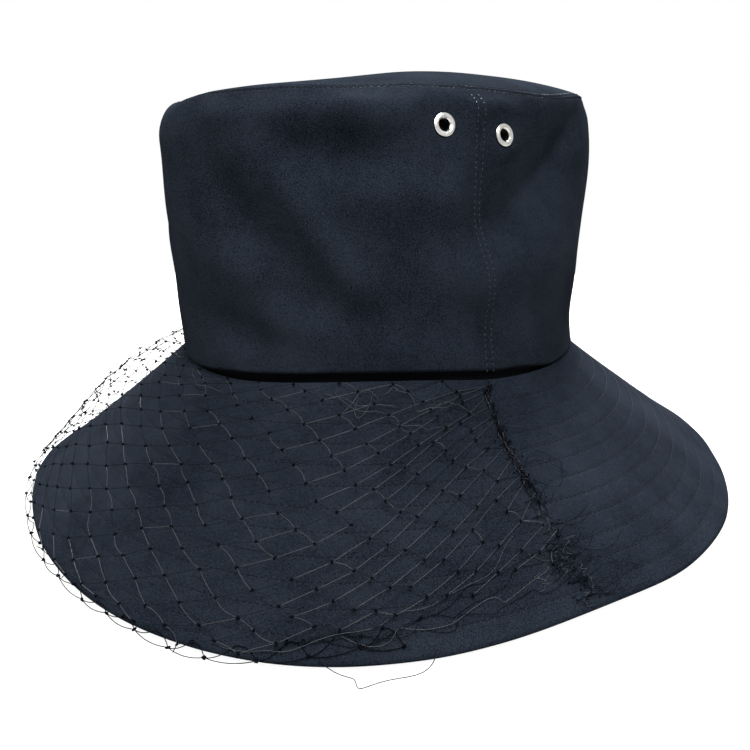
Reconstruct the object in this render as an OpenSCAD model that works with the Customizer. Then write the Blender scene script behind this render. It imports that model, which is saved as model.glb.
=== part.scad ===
// Wide-brimmed sewn cloth hat with a knotted net veil over the front of its brim.
// It stands on its brim edge at z = 0, its front faces -Y, and the wearer's left is +X.
// Each cloth layer is a thin shell between two offsets of one shared surface.

/* [Crown] */
// Half length of the crown at its foot, front to back
head_a = 97; // [88:1:106]
// Half width of the crown at its foot
head_b = 92; // [84:1:100]
// Half length of the crown at its top rim
top_a = 104; // [94:1:112]
// Half width of the crown at its top rim
top_b = 74; // [70:1:90]
// Height of the crown from the foot seam to the top rim
crown_h = 109; // [80:1:130]
// Rise of the tip above the top rim
tip_dome = 10; // [2:0.5:14]

/* [Brim] */
// Half length of the brim at its edge
brim_a = 167; // [140:1:180]
// Half width of the brim at its edge
brim_b = 160; // [135:1:172]
// Height of the foot seam above the brim edge
brim_drop = 63; // [40:1:75]
// How far the brim edge rises at the middle of the back
back_rise = 12; // [0:0.5:16]
// How far the brim edge rises at the middle of the front
front_rise = 3; // [0:0.5:6]

/* [Cloth] */
// Thickness of the outer cotton cloth
cloth = 0.8; // [0.5:0.1:1]
// Thickness of the brim's stiff interlining
core = 1.2; // [0.8:0.1:1.6]
// Thickness of the lining cloth
lining = 0.4; // [0.3:0.1:0.5]
// Width of the sweatband
sweatband_w = 30; // [20:1:40]

/* [Eyelets] */
// Diameter of the hole through an eyelet
eyelet_hole_d = 4.6; // [4:0.2:6]
// Outer diameter of an eyelet's flange
eyelet_flange_d = 8.6; // [8:0.1:11]
// Distance of the front eyelet below the top rim
eyelet_front_below = 14; // [13:0.5:25]
// Distance of the back eyelet below the top rim
eyelet_back_below = 18; // [13:0.5:25]
// Distance of the front eyelet from the side seam
eyelet_front_gap = 15.5; // [9:0.5:20]
// Distance of the back eyelet from the side seam
eyelet_back_gap = 11.5; // [9:0.5:20]

/* [Veil] */
// How far the net stands off the brim at the front
veil_puff = 11; // [4:1:14]
// How far the net's hem reaches past the brim edge at the front
veil_reach = 8; // [4:1:10]
// Thickness of the net with its knots
veil_t = 0.5; // [0.4:0.1:0.8]

/* [Hidden] */

cloth_col = [0.10, 0.12, 0.15];
lining_col = [0.05, 0.05, 0.06];
core_col = [0.75, 0.73, 0.68];
band_col = [0.04, 0.05, 0.07];
metal_col = [0.80, 0.80, 0.80];
net_col = [0.02, 0.02, 0.02];

ply_gap = 0.15;      // air between two layers of cloth
seam_gap = 0.12;     // half the gap where two panels meet, in degrees
foot_wave = 3;       // the foot seam is this much higher at the sides than on average
top_tilt = 5;        // the top rim is this much higher at the back than on average
brim_square = 2.3;   // superellipse power of the brim edge, 2 being an ellipse
brim_bell = 1.08;    // above 1 the brim is steeper by the crown than at its edge
crown_bulge = 2;     // how far the crown's wall swells between foot and rim
lining_at = -2.9;    // offset of the lining's outer face from the crown's outer face
band_at = -3.7;      // offset of the sweatband's outer face
flat_to = 0.985;     // where the brim's flat layers stop, as a share of its width
lip_to = 0.988;      // where the turned edge ends underneath
fold_at = 0.994;     // the lowest point of the turned edge
binding_at = 1.1;    // depth of a seam allowance's outer face inside the crown's outer face
binding_t = 1;       // thickness of a turned seam allowance
tip_lining_at = -3.2;    // height of the tip's lining above the tip's outer face
tip_lining_inset = 0.045;
lining_low = 0.01;   // where the lining starts, as a share of the crown's height
lining_high = 0.965; // where the lining ends
band_low = 0.012;    // where the sweatband starts
band_t = 0.9;        // thickness of the sweatband
tip_power = 2.4;     // roundness of the tip's dome
net_lie = 1.6;       // how far the net stands off the brim at the sides
bore_room = 1.6;     // how much wider the hole in the cloth is than an eyelet's hole
panel_steps = 36;    // steps round a front or back panel
crown_steps = 6;     // steps up the crown
brim_steps = 7;      // steps across the brim
veil_end = 86;       // azimuth where the net runs into its gathered side
hinge_gap = 0.6;     // air between the veil's lifting front and its sides

core_at = -cloth - ply_gap;
under_at = core_at - core - ply_gap;
lip_at = under_at - cloth;

// Azimuth t is 0 at the front and 90 at the wearer's left.
function mix(a, b, s) = a + (b - a) * s;
function spow(x, p) = sign(x) * pow(abs(x), p);
function oval(t, a, b, n) = [b * spow(sin(t), 2 / n), -a * spow(cos(t), 2 / n)];
function foot_z(t) = brim_drop - foot_wave * cos(2 * t);
function top_z(t) = brim_drop + crown_h - top_tilt * cos(t);
function edge_z(t) = front_rise * pow(max(0, (cos(t) - 0.5) / 0.5), 2)
    + back_rise * pow(max(0, (-cos(t) - 0.55) / 0.45), 1.5);

// The crown wall, w running from 0 at the foot seam to 1 at the top rim.
function wall(t, w) =
    let (swell = crown_bulge * sin(180 * w),
        p = oval(t, mix(head_a, top_a, w) + swell, mix(head_b, top_b, w) + swell, 2))
    [p.x, p.y, mix(foot_z(t), top_z(t), w)];

// The brim, v running from 0 at the foot seam to 1 at the edge.
function brim(t, v) =
    let (p = oval(t, mix(head_a, brim_a, v), mix(head_b, brim_b, v), mix(2, brim_square, v)),
        fall = v < 1 ? 1 - pow(1 - v, brim_bell) : 1 + (v - 1) * 0.8)
    [p.x, p.y, mix(foot_z(t) - ply_gap, edge_z(t), fall)];

// The tip, u running from 0 at the top rim to 1 at its middle.
function tip(t, u) =
    let (p = oval(t, top_a, top_b, 2) * (1 - u))
    [p.x, p.y, mix(top_z(t), brim_drop + crown_h, u) + tip_dome * (1 - pow(1 - u, tip_power))];

function on(kind, t, s) = kind == "wall" ? wall(t, s) : kind == "brim" ? brim(t, s) : tip(t, s);
function unit(v) = v / norm(v);
function outward(kind, t, s) =
    let (dt = 0.05, ds = 0.002,
        across = on(kind, t + dt, s) - on(kind, t - dt, s),
        along = on(kind, t, s + ds) - on(kind, t, s - ds))
    kind == "brim" ? unit(cross(along, across)) : unit(cross(across, along));
function at(kind, t, s, off) = on(kind, t, s) + off * outward(kind, t, s);

// The height of the lowest point of the brim's turned edge, which stands on the ground.
ground = min([for (t = [0:5:355]) at("brim", t, fold_at, lip_at - ply_gap).z]);

// The net over the brim, v running from 0 at the crown to 1 at the hem.
function veil_stand(t, v) = net_lie + veil_puff * pow(cos(t), 0.6) * pow(sin(180 * min(1, pow(v, 0.75))), 0.8);
function veil_at(t, v, off) =
    let (reach = veil_reach * (1 - pow(abs(t) / 90, 4)) / (brim_a - head_a),
        s = mix(0.01, 1.01 + reach, v),
        q = on("brim", t, s) + (veil_stand(t, v) + off) * outward("brim", t, min(s, 0.995)))
    [q.x, q.y, max(q.z, ground + 0.6 + off)];

y_mid = (veil_at(0, 1, veil_t).y + brim_a) / 2;
hinge_y = -head_a - 2;

// Closed shell through a grid of point pairs: grid[i][j] = [outer, inner].
module shell(grid, ring = false) {
    rows = len(grid);
    cols = len(grid[0]);
    last = ring ? rows - 1 : rows - 2;
    points = [for (row = grid) for (pair = row) for (p = pair) p];
    function id(i, j, k) = ((i % rows) * cols + j) * 2 + k;
    function quad(a, b, c, d) = [[a, b, c], [a, c, d]];
    sides = [for (i = [0:last]) for (j = [0:cols - 2]) each concat(
        quad(id(i, j, 0), id(i, j + 1, 0), id(i + 1, j + 1, 0), id(i + 1, j, 0)),
        quad(id(i, j, 1), id(i + 1, j, 1), id(i + 1, j + 1, 1), id(i, j + 1, 1)))];
    rims = [for (i = [0:last]) each concat(
        quad(id(i, 0, 0), id(i + 1, 0, 0), id(i + 1, 0, 1), id(i, 0, 1)),
        quad(id(i, cols - 1, 0), id(i, cols - 1, 1), id(i + 1, cols - 1, 1), id(i + 1, cols - 1, 0)))];
    ends = ring ? [] : [for (j = [0:cols - 2]) each concat(
        quad(id(0, j, 0), id(0, j, 1), id(0, j + 1, 1), id(0, j + 1, 0)),
        quad(id(rows - 1, j, 0), id(rows - 1, j + 1, 0), id(rows - 1, j + 1, 1), id(rows - 1, j, 1)))];
    polyhedron(points, concat(sides, rims, ends), convexity = 10);
}

// Half of the hat, front or back, from one side seam to the other.
function half(back) = [for (i = [0:panel_steps])
    (back ? 90 : -90) + seam_gap + (180 - 2 * seam_gap) * i / panel_steps];
function round_trip() = [for (i = [0:2 * panel_steps - 1]) 180 * i / panel_steps];

// A layer between two offsets, for share s from s0 to s1 of a surface.
function layer(kind, turns, s0, s1, steps, outer, inner) =
    [for (t = turns) [for (j = [0:steps])
        let (s = mix(s0, s1, j / steps)) [at(kind, t, s, outer), at(kind, t, s, inner)]]];

module placed() translate([0, -y_mid, -ground]) children();

module disc(outer, inner, inset) {
    turns = round_trip();
    n = len(turns);
    rings = 5;
    shares = [for (j = [0:rings - 1]) mix(inset, 0.92, pow(j / (rings - 1), 0.8))];
    drop = [0, 0, 1];
    top = [for (u = shares) for (t = turns) on("tip", t, u) + outer * drop];
    low = [for (u = shares) for (t = turns) on("tip", t, u) + inner * drop];
    mid = on("tip", 0, 1);
    points = concat(top, low, [mid + outer * drop, mid + inner * drop]);
    half_n = rings * n;
    function next(i) = (i + 1) % n;
    skin = [for (j = [0:rings - 2]) for (i = [0:n - 1]) each [
        [j * n + i, (j + 1) * n + i, (j + 1) * n + next(i)],
        [j * n + i, (j + 1) * n + next(i), j * n + next(i)]]];
    caps = [for (i = [0:n - 1]) [(rings - 1) * n + i, 2 * half_n, (rings - 1) * n + next(i)]];
    skin_low = [for (f = skin) [f[2] + half_n, f[1] + half_n, f[0] + half_n]];
    caps_low = [for (f = caps) [f[2] + half_n, 2 * half_n + 1, f[0] + half_n]];
    wall_faces = [for (i = [0:n - 1]) each [
        [i, next(i), next(i) + half_n], [i, next(i) + half_n, i + half_n]]];
    polyhedron(points, concat(skin, caps, skin_low, caps_low, wall_faces), convexity = 4);
}

// Places a fitting on the crown wall with its own +Z pointing outward.
function eyelet_turn(side, fore) =
    let (gap = fore ? -eyelet_front_gap : eyelet_back_gap,
        t = acos(-gap / (top_a + 1)))
    side * t;
function eyelet_share(fore) = 1 - (fore ? eyelet_front_below : eyelet_back_below) / crown_h;
module on_crown(side, fore) {
    t = eyelet_turn(side, fore);
    share = eyelet_share(fore);
    n = outward("wall", t, share);
    translate(on("wall", t, share)) rotate([0, acos(n.z), atan2(n.y, n.x)]) children();
}

module crown_panel(back) {
    difference() {
        shell(layer("wall", half(back), 0, 0.992, crown_steps, 0, -cloth));
        for (side = [-1, 1]) on_crown(side, !back)
            cylinder(d = eyelet_hole_d + bore_room, h = 6, center = true, $fn = 48);
    }
}

// The upper brim turns round the edge and hides the ends of the other layers.
module brim_upper(back) {
    round_off = 0.5;
    flat = layer("brim", half(back), 0, flat_to, brim_steps, 0, -cloth);
    turned = [[[1, -round_off], [lip_to, -cloth - 0.1]],
        [[1, lip_at + round_off], [lip_to, lip_at + round_off]],
        [[fold_at, lip_at - ply_gap], [lip_to, lip_at]]];
    turns = half(back);
    shell([for (i = [0:panel_steps]) concat(flat[i], [for (pair = turned)
        [for (p = pair) at("brim", turns[i], p[0], p[1])]])]);
}

module brim_layer(back, outer, thick)
    shell(layer("brim", half(back), 0.004, flat_to, brim_steps, outer, outer - thick));

module eyelet_body() {
    bore = eyelet_hole_d / 2;
    tube = bore + 0.5;
    flange = eyelet_flange_d / 2;
    rotate_extrude($fn = 72) polygon(concat(
        [[bore, -2], [bore + 1.2, -2.15], [bore + 1.2, -1.85], [tube, -1.7], [tube, 0.2],
        [flange - 0.5, 0.2]],
        [for (a = [-90:30:90]) [flange - 0.35 + 0.35 * cos(a), 0.55 + 0.35 * sin(a)]],
        [[bore + 1.1, 1.1], [bore + 0.4, 1.0], [bore, 0.5]]));
}

module washer_body() {
    ring_in = eyelet_hole_d / 2 + 0.65;
    rotate_extrude($fn = 72) polygon([[ring_in, -1.55], [ring_in, -1.05],
        [eyelet_flange_d / 2, -1.05], [eyelet_flange_d / 2, -1.45], [eyelet_flange_d / 2 - 0.3, -1.55]]);
}

module veil_shell(turns) shell([for (t = turns) [for (j = [0:10])
    [veil_at(t, j / 10, veil_t), veil_at(t, j / 10, 0)]]]);

module veil_side(side) difference() {
    veil_shell([for (i = [0:24]) side > 0 ? mix(8, veil_end, i / 24) : mix(-veil_end, -8, i / 24)]);
    translate([-200, hinge_y - 200, -20]) cube([400, 200, 150]);
}

// The net drawn together along a side seam, a low ridge tacked to the brim.
module veil_gather(side) shell([for (t = side > 0 ? [87, 88, 90, 92, 93] : [-93, -92, -90, -88, -87])
    [for (j = [0:8]) let (v = mix(0.02, 0.96, j / 8), high = abs(abs(t) - 90) < 2.5 ? 2.6 : 1)
        [at("brim", t, v, high), at("brim", t, v, 0.25)]]]);

module wall_layer(back, low, high, outer, thick)
    shell(layer("wall", half(back), low, high, crown_steps, outer, outer - thick));

module wall_ring(low, high, steps, outer, thick)
    shell(layer("wall", round_trip(), low, high, steps, outer, outer - thick), ring = true);

module crown_tip() color(cloth_col) placed() disc(0, -cloth, 0);
module crown_front() color(cloth_col) placed() crown_panel(false);
module crown_back() color(cloth_col) placed() crown_panel(true);
module rim_seam_binding() color(cloth_col) placed() wall_ring(0.93, 0.985, 1, -binding_at, binding_t);
module foot_seam_binding() color(cloth_col) placed() wall_ring(0.01, 0.09, 1, -binding_at, binding_t);
module lining_tip() color(lining_col) placed()
    disc(tip_lining_at, tip_lining_at - lining, tip_lining_inset);
module lining_panel(back) color(lining_col) placed()
    wall_layer(back, lining_low, lining_high, lining_at, lining);
module sweatband() color(band_col) placed()
    wall_ring(band_low, sweatband_w / crown_h, 2, band_at, band_t);
module brim_upper_panel(back) color(cloth_col) placed() brim_upper(back);
module brim_core(back) color(core_col) placed() brim_layer(back, core_at, core);
module brim_under(back) color(cloth_col) placed() brim_layer(back, under_at, cloth);
module eyelet(side, fore) color(metal_col) placed() on_crown(side, fore) eyelet_body();
module washer(side, fore) color(metal_col) placed() on_crown(side, fore) washer_body();
module veil_front() color(net_col) placed() intersection() {
    veil_shell([for (i = [0:48]) mix(-60, 60, i / 48)]);
    translate([-200, hinge_y - hinge_gap - 200, -20]) cube([400, 200, 150]);
}
module veil_side_panel(side) color(net_col) placed() veil_side(side);
module veil_gathered(side) color(net_col) placed() veil_gather(side);

crown_tip();
crown_front();
crown_back();
rim_seam_binding();
foot_seam_binding();
lining_tip();
lining_panel(false);  // lining_front
lining_panel(true);  // lining_back
sweatband();
brim_upper_panel(false);  // brim_upper_front
brim_upper_panel(true);  // brim_upper_back
brim_core(false);  // brim_core_front
brim_core(true);  // brim_core_back
brim_under(false);  // brim_under_front
brim_under(true);  // brim_under_back
eyelet(1, true);  // eyelet_left_front
eyelet(1, false);  // eyelet_left_back
eyelet(-1, true);  // eyelet_right_front
eyelet(-1, false);  // eyelet_right_back
washer(1, true);  // washer_left_front
washer(1, false);  // washer_left_back
washer(-1, true);  // washer_right_front
washer(-1, false);  // washer_right_back
veil_front();
veil_side_panel(1);  // veil_side_left
veil_side_panel(-1);  // veil_side_right
veil_gathered(1);  // veil_gather_left
veil_gathered(-1);  // veil_gather_right
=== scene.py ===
"""A tall soft cloth hat with a quilted brim and a knotted net veil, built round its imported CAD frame.

Lengths are in millimetres until a mesh is made. Azimuth t is 0 at the front and 90 at the wearer's left.
"""

import math

import bpy
import numpy as np
from mathutils import Matrix, Vector
from mathutils.bvhtree import BVHTree


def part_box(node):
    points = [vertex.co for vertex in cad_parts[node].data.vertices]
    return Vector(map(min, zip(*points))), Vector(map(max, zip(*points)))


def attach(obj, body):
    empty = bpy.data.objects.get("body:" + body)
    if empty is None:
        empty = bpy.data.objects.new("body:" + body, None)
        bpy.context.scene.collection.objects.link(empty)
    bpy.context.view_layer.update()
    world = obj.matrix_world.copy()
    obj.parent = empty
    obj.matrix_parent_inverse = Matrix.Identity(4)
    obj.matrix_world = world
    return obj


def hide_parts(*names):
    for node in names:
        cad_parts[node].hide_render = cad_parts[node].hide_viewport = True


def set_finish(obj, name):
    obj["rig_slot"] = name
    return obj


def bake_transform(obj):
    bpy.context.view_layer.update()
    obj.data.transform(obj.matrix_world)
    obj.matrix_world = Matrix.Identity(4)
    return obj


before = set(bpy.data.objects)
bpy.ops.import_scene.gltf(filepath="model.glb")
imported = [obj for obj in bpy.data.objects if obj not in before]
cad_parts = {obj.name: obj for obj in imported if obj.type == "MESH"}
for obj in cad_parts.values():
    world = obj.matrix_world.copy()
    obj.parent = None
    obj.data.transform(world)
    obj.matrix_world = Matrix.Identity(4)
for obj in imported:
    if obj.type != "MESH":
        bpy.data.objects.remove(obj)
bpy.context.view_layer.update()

MM = 1000.0

# ---- sizes, as in the part's own source
HEAD_A, HEAD_B = 97.0, 92.0
HALVES = (("front", False), ("back", True))
CROWN_H, TIP_DOME, TOP_TILT, CROWN_BULGE = 109.0, 10.0, 5.0, 2.0
FOOT_Z, FOOT_WAVE, PLY_GAP = 63.0, 3.0, 0.15
FRONT_RISE, BACK_RISE = 3.0, 12.0
BRIM_SQUARE, BRIM_BELL, BRIM_SLANT = 2.3, 1.08, 94.0
CLOTH, CORE, LINING = 0.8, 1.2, 0.4
LINING_AT, BAND_AT, BAND_THICK = -2.9, -3.7, 0.9
CORE_AT, UNDER_AT = -0.95, -2.3
EYELET_GAPS = {"front": 15.5, "back": -11.5}
EYELET_BELOW = {"front": 14.0, "back": 18.0}
EYELET_HOLE_R = 3.1
EDGE_TUCK = 0.33

# Half the gap where two panels meet at a side seam, in degrees
STITCH_GAP, CLOTH_GAP, CORE_GAP = 0.12, 0.0, 0.3

tip_low, tip_high = (np.array(corner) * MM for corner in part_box("crown_tip"))
brim_low, brim_high = (np.array(corner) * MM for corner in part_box("brim_upper_front"))
MID_Y = (tip_low[1] + tip_high[1]) / 2
TOP_A = (tip_high[1] - tip_low[1]) / 2
TOP_B = tip_high[0]
BRIM_A = MID_Y - brim_low[1] + EDGE_TUCK
BRIM_B = brim_high[0] + EDGE_TUCK
LIFT = tip_high[2] - (FOOT_Z + CROWN_H + TIP_DOME)
SHIFT = np.array([0.0, MID_Y, LIFT])

# Millimetres per degree of azimuth round the crown and round the brim, and per unit of u on the tip
CROWN_ROUND, BRIM_ROUND, TIP_REACH = 1.56, 2.2, 90.0

rng = np.random.default_rng(7)


# ---- shared surfaces
def mix(a, b, s):
    return a + (b - a) * s


def smooth(low, high, x):
    s = np.clip((x - low) / (high - low), 0, 1)
    return s * s * (3 - 2 * s)


def bell(x, width):
    return np.exp(-((x / width) ** 2))


def turn(t):
    """Azimuth brought into -180 to 180."""
    return (np.asarray(t, float) + 180) % 360 - 180


def swells(t, *bumps):
    """A sum of smooth bumps round the hat, each given as height, azimuth and half width in degrees."""
    return sum(height * bell(turn(t - azimuth), width) for height, azimuth, width in bumps)


def spow(x, p):
    return np.sign(x) * np.abs(x) ** p


def oval(t, a, b, n=2.0):
    r = np.radians(t)
    return b * spow(np.sin(r), 2 / n), -a * spow(np.cos(r), 2 / n)


def foot_z(t):
    return FOOT_Z - FOOT_WAVE * np.cos(np.radians(2 * t))


def top_z(t):
    return FOOT_Z + CROWN_H - TOP_TILT * np.cos(np.radians(t))


def edge_z(t):
    c = np.cos(np.radians(t))
    front = FRONT_RISE * np.maximum(0, (c - 0.5) / 0.5) ** 2
    return front + BACK_RISE * np.maximum(0, (-c - 0.55) / 0.45) ** 1.5


def stack(x, y, z):
    return np.stack(np.broadcast_arrays(x, y, z), -1)


def wall(t, w):
    swell = CROWN_BULGE * np.sin(np.pi * np.clip(w, 0, 1))
    x, y = oval(t, mix(HEAD_A, TOP_A, w) + swell, mix(HEAD_B, TOP_B, w) + swell)
    return stack(x, y, mix(foot_z(t), top_z(t), w))


def brim(t, v):
    x, y = oval(t, mix(HEAD_A, BRIM_A, v), mix(HEAD_B, BRIM_B, v), mix(2.0, BRIM_SQUARE, v))
    fall = np.where(v < 1, 1 - np.maximum(0, 1 - v) ** BRIM_BELL, 1 + (v - 1) * 0.8)
    return stack(x, y, mix(foot_z(t) - PLY_GAP, edge_z(t), fall))


def tip(t, u):
    x, y = oval(t, TOP_A, TOP_B)
    z = mix(top_z(t), FOOT_Z + CROWN_H, u) + TIP_DOME * (1 - np.maximum(0, 1 - u) ** 2.4)
    return stack(x * (1 - u), y * (1 - u), z)


SURFACES = {"wall": wall, "brim": brim, "tip": tip}
UP = np.array([0.0, 0.0, 1.0])


def unit(v):
    return v / np.maximum(np.linalg.norm(v, axis=-1, keepdims=True), 1e-9)


def along_outline(t):
    """Level unit vector along a round outline, towards rising azimuth."""
    r = np.radians(t)
    return stack(np.cos(r), np.sin(r), 0 * r)


def outward(kind, t, s):
    """Unit normal of a surface, pointing out of the hat. The tip's layers lie straight above each other."""
    if kind == "tip":
        return np.broadcast_to(UP, np.broadcast_shapes(np.shape(t), np.shape(s)) + (3,))
    at, dt, ds = SURFACES[kind], 0.05, 0.002
    across = at(t + dt, s) - at(t - dt, s)
    along = at(t, s + ds) - at(t, s - ds)
    return unit(np.cross(along, across) if kind == "brim" else np.cross(across, along))


# ---- sculpted folds, shared by all the layers
def eyelet_places():
    """Azimuth and share of the crown's height of each of the four eyelets."""
    places = []
    for which, gap in EYELET_GAPS.items():
        azimuth = math.degrees(math.acos(gap / (TOP_A + 1)))
        share = 1 - EYELET_BELOW[which] / CROWN_H
        places += [(azimuth, share), (-azimuth, share)]
    return places


EYELETS = eyelet_places()

# Soft folds of the crown: azimuth and height at each end, half width, and depth (below 0 is a hollow).
CROWN_FOLDS = [
    (30, 0.92, 60, 0.92, 5.0, 2.0),
    (62, 0.90, 95, 0.90, 6.0, 3.2),
    (43, 0.77, 59, 0.34, 6.5, 2.9),
    (30, 0.67, 48, 0.33, 10.5, -4.1),
    (49, 0.79, 64, 0.76, 8.0, -3.0),
    (68, 0.64, 80, 0.60, 11.0, 3.2),
    (95, 0.57, 103, 0.62, 13.0, -4.8),
    (101, 0.55, 127, 0.86, 7.0, -3.4),
    (103, 0.70, 116, 0.78, 12.0, -2.4),
    (100, 0.36, 112, 0.38, 13.0, 3.2),
    (83, 0.60, 87, 0.30, 6.5, 4.0),
    (27, 0.43, 36, 0.40, 9.0, 1.6),
    (26, 0.20, 36, 0.16, 9.0, -2.2),
    (70, 0.24, 80, 0.22, 10.0, -1.4),
    (44, 0.20, 66, 0.12, 8.0, 1.3),
    (96, 0.22, 122, 0.14, 11.0, -1.4),
    (118, 0.66, 130, 0.70, 7.0, -1.3),
    (150, 0.78, 147, 0.60, 14.0, 1.4),
    (150, 0.28, 160, 0.12, 16.0, -2.2),
    (-30, 0.30, -22, 0.12, 15.0, -2.6),
    (-14, 0.72, -4, 0.50, 10.0, -1.2),
    (-55, 0.75, -70, 0.30, 8.0, -2.4),
    (-66, 0.82, -82, 0.42, 8.0, 1.5),
    (-104, 0.60, -96, 0.20, 8.0, -1.9),
    (-128, 0.80, -140, 0.35, 9.0, -2.2),
    (-150, 0.55, -158, 0.18, 12.0, 1.4),
    (178, 0.80, 170, 0.40, 9.0, -2.3),
    (-172, 0.30, -188, 0.20, 14.0, -1.7),
]


def crease(t, w, t0, w0, t1, w1, width, depth):
    """A soft ridge or hollow along a straight line drawn on the crown's wall."""
    x, y = turn(t - (t0 + t1) / 2) * CROWN_ROUND, w * CROWN_H
    ax, ay = (t0 - t1) / 2 * CROWN_ROUND, w0 * CROWN_H
    bx, by = (t1 - t0) / 2 * CROWN_ROUND, w1 * CROWN_H
    length = math.hypot(bx - ax, by - ay)
    ux, uy = (bx - ax) / length, (by - ay) / length
    along = (x - ax) * ux + (y - ay) * uy
    across = (x - ax) * uy - (y - ay) * ux
    past = np.maximum(0, np.maximum(-along, along - length))
    return depth * bell(across, width) * bell(past, width * 1.7)


def near_eyelets(t, w):
    """1 on an eyelet, falling to 0 a little way off it."""
    close = 0.0
    for azimuth, share in EYELETS:
        away = np.hypot(turn(t - azimuth) * CROWN_ROUND * 0.95, (w - share) * CROWN_H)
        close = np.maximum(close, 1 - smooth(5.0, 12.5, away))
    return close


def leaning(t, w):
    """Broad bulges and hollows of the crown's outline."""
    front = -2.0 * bell(w - 0.75, 0.22) - 1.7 * bell(w - 0.34, 0.13)
    back_side = 1.7 * bell(w - 0.8, 0.2) - 1.8 * bell(w - 0.12, 0.14)
    return front * bell(turn(t + 12), 26) + back_side * bell(turn(t - 140), 24)


def foot_sag(t):
    """How far the foot seam hangs below its plain line."""
    return 0.7 + swells(t, (5.4, 105, 30), (0.6, 90, 10), (1.9, 22, 24))


def ripple(t, w):
    """The faint unevenness of soft cloth, the same for every layer."""
    r = np.radians(t)
    return (0.35 * np.sin(5 * r + 6 * w) * np.sin(9 * w + 2 * r)
            + 0.22 * np.sin(11 * r - 8 * w + 1.0) + 0.14 * np.sin(23 * r + 13 * w + 2.0))


# Share of the crown's height over which the rim bends inward
RIM_ROUND = 0.14


def rim_pull(t):
    """How far the rim is drawn in, in mm: most at the front, where the corner has gone soft."""
    return 1.0 + swells(t, (12.0, -3, 26), (5.6, 72, 34))


def rim_drop(t):
    """How far the rim hangs below its plain height: behind the wearer's left side, and at the far front."""
    waver = 0.25 * np.sin(np.radians(7 * t + 40)) + 0.15 * np.sin(np.radians(13 * t))
    return waver + swells(t, (3.0, 115, 23), (-1.0, -6, 9), (-1.0, 44, 24), (3.0, -60, 32))


def rim_corner(t, w):
    """The wall's last stretch below the rim, bent inward like a quarter of an ellipse."""
    bend = np.pi / 2 * np.clip((w - 1 + RIM_ROUND) / RIM_ROUND, 0, 1)
    inward = -unit(wall(t, 1.0) * np.array([1.0, 1.0, 0.0]))
    pull = rim_pull(t)
    puff = np.minimum(1, pull / 9) * RIM_ROUND * CROWN_H * (np.sin(bend) - bend * 2 / np.pi)
    rise = puff - rim_drop(t) * (1 - np.cos(bend))
    return inward * (pull * (1 - np.cos(bend)))[..., None] + UP * rise[..., None]


def tip_sculpt(t, u):
    """The tip follows the rim, has sunk at the front and is a little fuller at the back."""
    r = np.radians(t)
    y = tip(t, u)[..., 1]
    inside = 1 - np.maximum(0, 1 - u) ** 5
    sunk = -2.0 * smooth(0, -62, y) + 0.7 * smooth(-40, 20, y)
    dents = 0.35 * np.sin(3 * r + 4 * u) * u * (1 - u) * 4
    edge = np.maximum(0, 1 - np.clip(u, 0, 1)) ** 4
    return rim_corner(t, np.ones_like(u)) * edge[..., None] + UP * (sunk * inside + dents)[..., None]


def seam_drift(t, w):
    """The left side seam has slipped towards the front halfway up."""
    along = -2.4 * bell(w - 0.54, 0.19) * bell(turn(t - 90), 16)
    return along_outline(t) * np.asarray(along)[..., None]


def sculpt(kind, t, s):
    """How far a point of a surface is moved from its plain shape, as a vector."""
    t, s = np.broadcast_arrays(np.asarray(t, float), np.asarray(s, float))
    if kind == "brim":
        return brim_sculpt(t, s)
    if kind == "tip":
        return tip_sculpt(t, s)
    total = ripple(t, s)
    for fold in CROWN_FOLDS:
        total = total + crease(t, s, *fold)
    total = (total + leaning(t, s)) * smooth(0.0, 0.04, s) * (1 - smooth(0.9, 1.0, s))
    held = (1 - near_eyelets(t, s))[..., None]
    moved = (outward("wall", t, s) * total[..., None] + rim_corner(t, s) + seam_drift(t, s)) * held
    return moved - UP * (foot_sag(t) * (1 - smooth(0.0, 0.4, s)))[..., None]


def brim_drift(t, v):
    """On the wearer's left the brim's seam and the gathered net have slipped towards the front."""
    along = -(4.5 + 3.0 * smooth(0.0, 0.35, v) - 1.0 * smooth(0.6, 1.0, v)) * smooth(0.0, 0.06, v)
    return along_outline(t) * (along * bell(turn(t - 90), 26))[..., None]


def brim_sculpt(t, v):
    """The brim's waves, its spread, and its sag at the foot seam."""
    r = np.radians(t)
    grow = np.clip(v, 0, 1.1)
    wave = (0.8 * np.sin(4 * r + 0.8) + 0.6 * np.sin(7 * r + 2.1) + 0.35 * np.sin(12 * r)) * grow ** 1.5
    small = 0.16 * np.sin(31 * r + 9 * v) * np.sin(14 * v + 5 * r) * grow
    spread = 0.3 + swells(t, (0.6, 128, 30), (2.3, 64, 31), (1.2, -14, 32), (1.2, 101, 7))
    raised = swells(t, (1.1, 45, 36), (1.8, 95, 14))
    away = unit(stack(np.sin(r), -np.cos(r), 0 * r))
    lift = outward("brim", t, np.clip(v, 0.02, 0.98)) * (wave + small)[..., None] * 0.8
    edge = (away * spread[..., None] + UP * raised[..., None]) * (grow ** 2)[..., None]
    return lift + edge + brim_drift(t, v) - UP * (foot_sag(t) * (1 - smooth(0.0, 0.6, v)))[..., None]


def skin(kind, t, s, off):
    """Points at an offset from a sculpted surface, in the row frame, in millimetres."""
    base = SURFACES[kind](t, s) + outward(kind, t, s) * np.asarray(off, float)[..., None]
    return base + sculpt(kind, t, s) + SHIFT


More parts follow.
